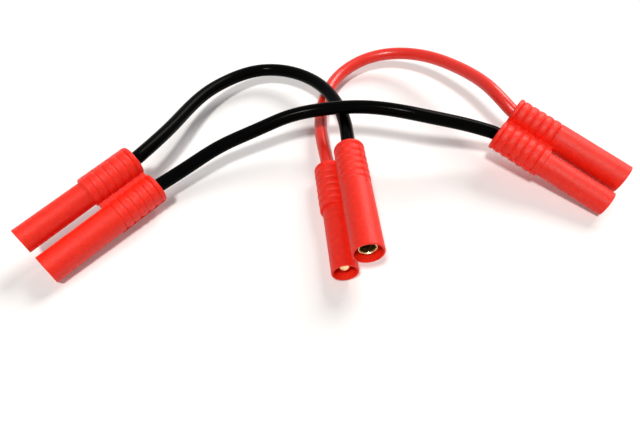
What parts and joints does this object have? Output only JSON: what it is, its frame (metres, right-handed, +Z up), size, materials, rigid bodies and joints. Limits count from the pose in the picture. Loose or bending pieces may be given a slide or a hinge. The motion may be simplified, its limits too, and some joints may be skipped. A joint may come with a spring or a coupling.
{
  "type": "battery adapter lead",
  "caption": "Series battery adapter lead: red polarised two-way housings with gold bullet pins and sockets, joined by black and red silicone leads.",
  "frame": {"origin": "bottom centre of the box of the three connectors, without the leads, on the surface they lie on", "axes": "+X to the right along the row of connectors, +Y away from the viewer, +Z up"},
  "size_m": [0.1654, 0.0902, 0.0189],
  "materials": {
    "red_nylon": "satin moulded nylon",
    "gold": "gold plated, bright",
    "solder": "tin solder, bright",
    "copper": "bare copper",
    "black_silicone": "satin silicone rubber",
    "red_silicone": "satin silicone rubber"
  },
  "bodies": {
    "root": {"left_housing": "red_nylon", "left_socket": "gold", "left_pin": "gold", "left_pin_spring": "gold", "left_socket_solder": "solder", "left_pin_solder": "solder", "left_socket_strands": "copper", "left_pin_strands": "copper", "middle_housing": "red_nylon", "middle_socket": "gold", "middle_pin": "gold", "middle_pin_spring": "gold", "middle_socket_solder": "solder", "middle_pin_solder": "solder", "middle_socket_strands": "copper", "middle_pin_strands": "copper", "right_housing": "red_nylon", "right_socket": "gold", "right_pin": "gold", "right_pin_spring": "gold", "right_socket_solder": "solder", "right_pin_solder": "solder", "right_socket_strands": "copper", "right_pin_strands": "copper", "black_lead_1": "black_silicone", "black_lead_2": "black_silicone", "red_lead": "red_silicone"}
  },
  "joints": []
}
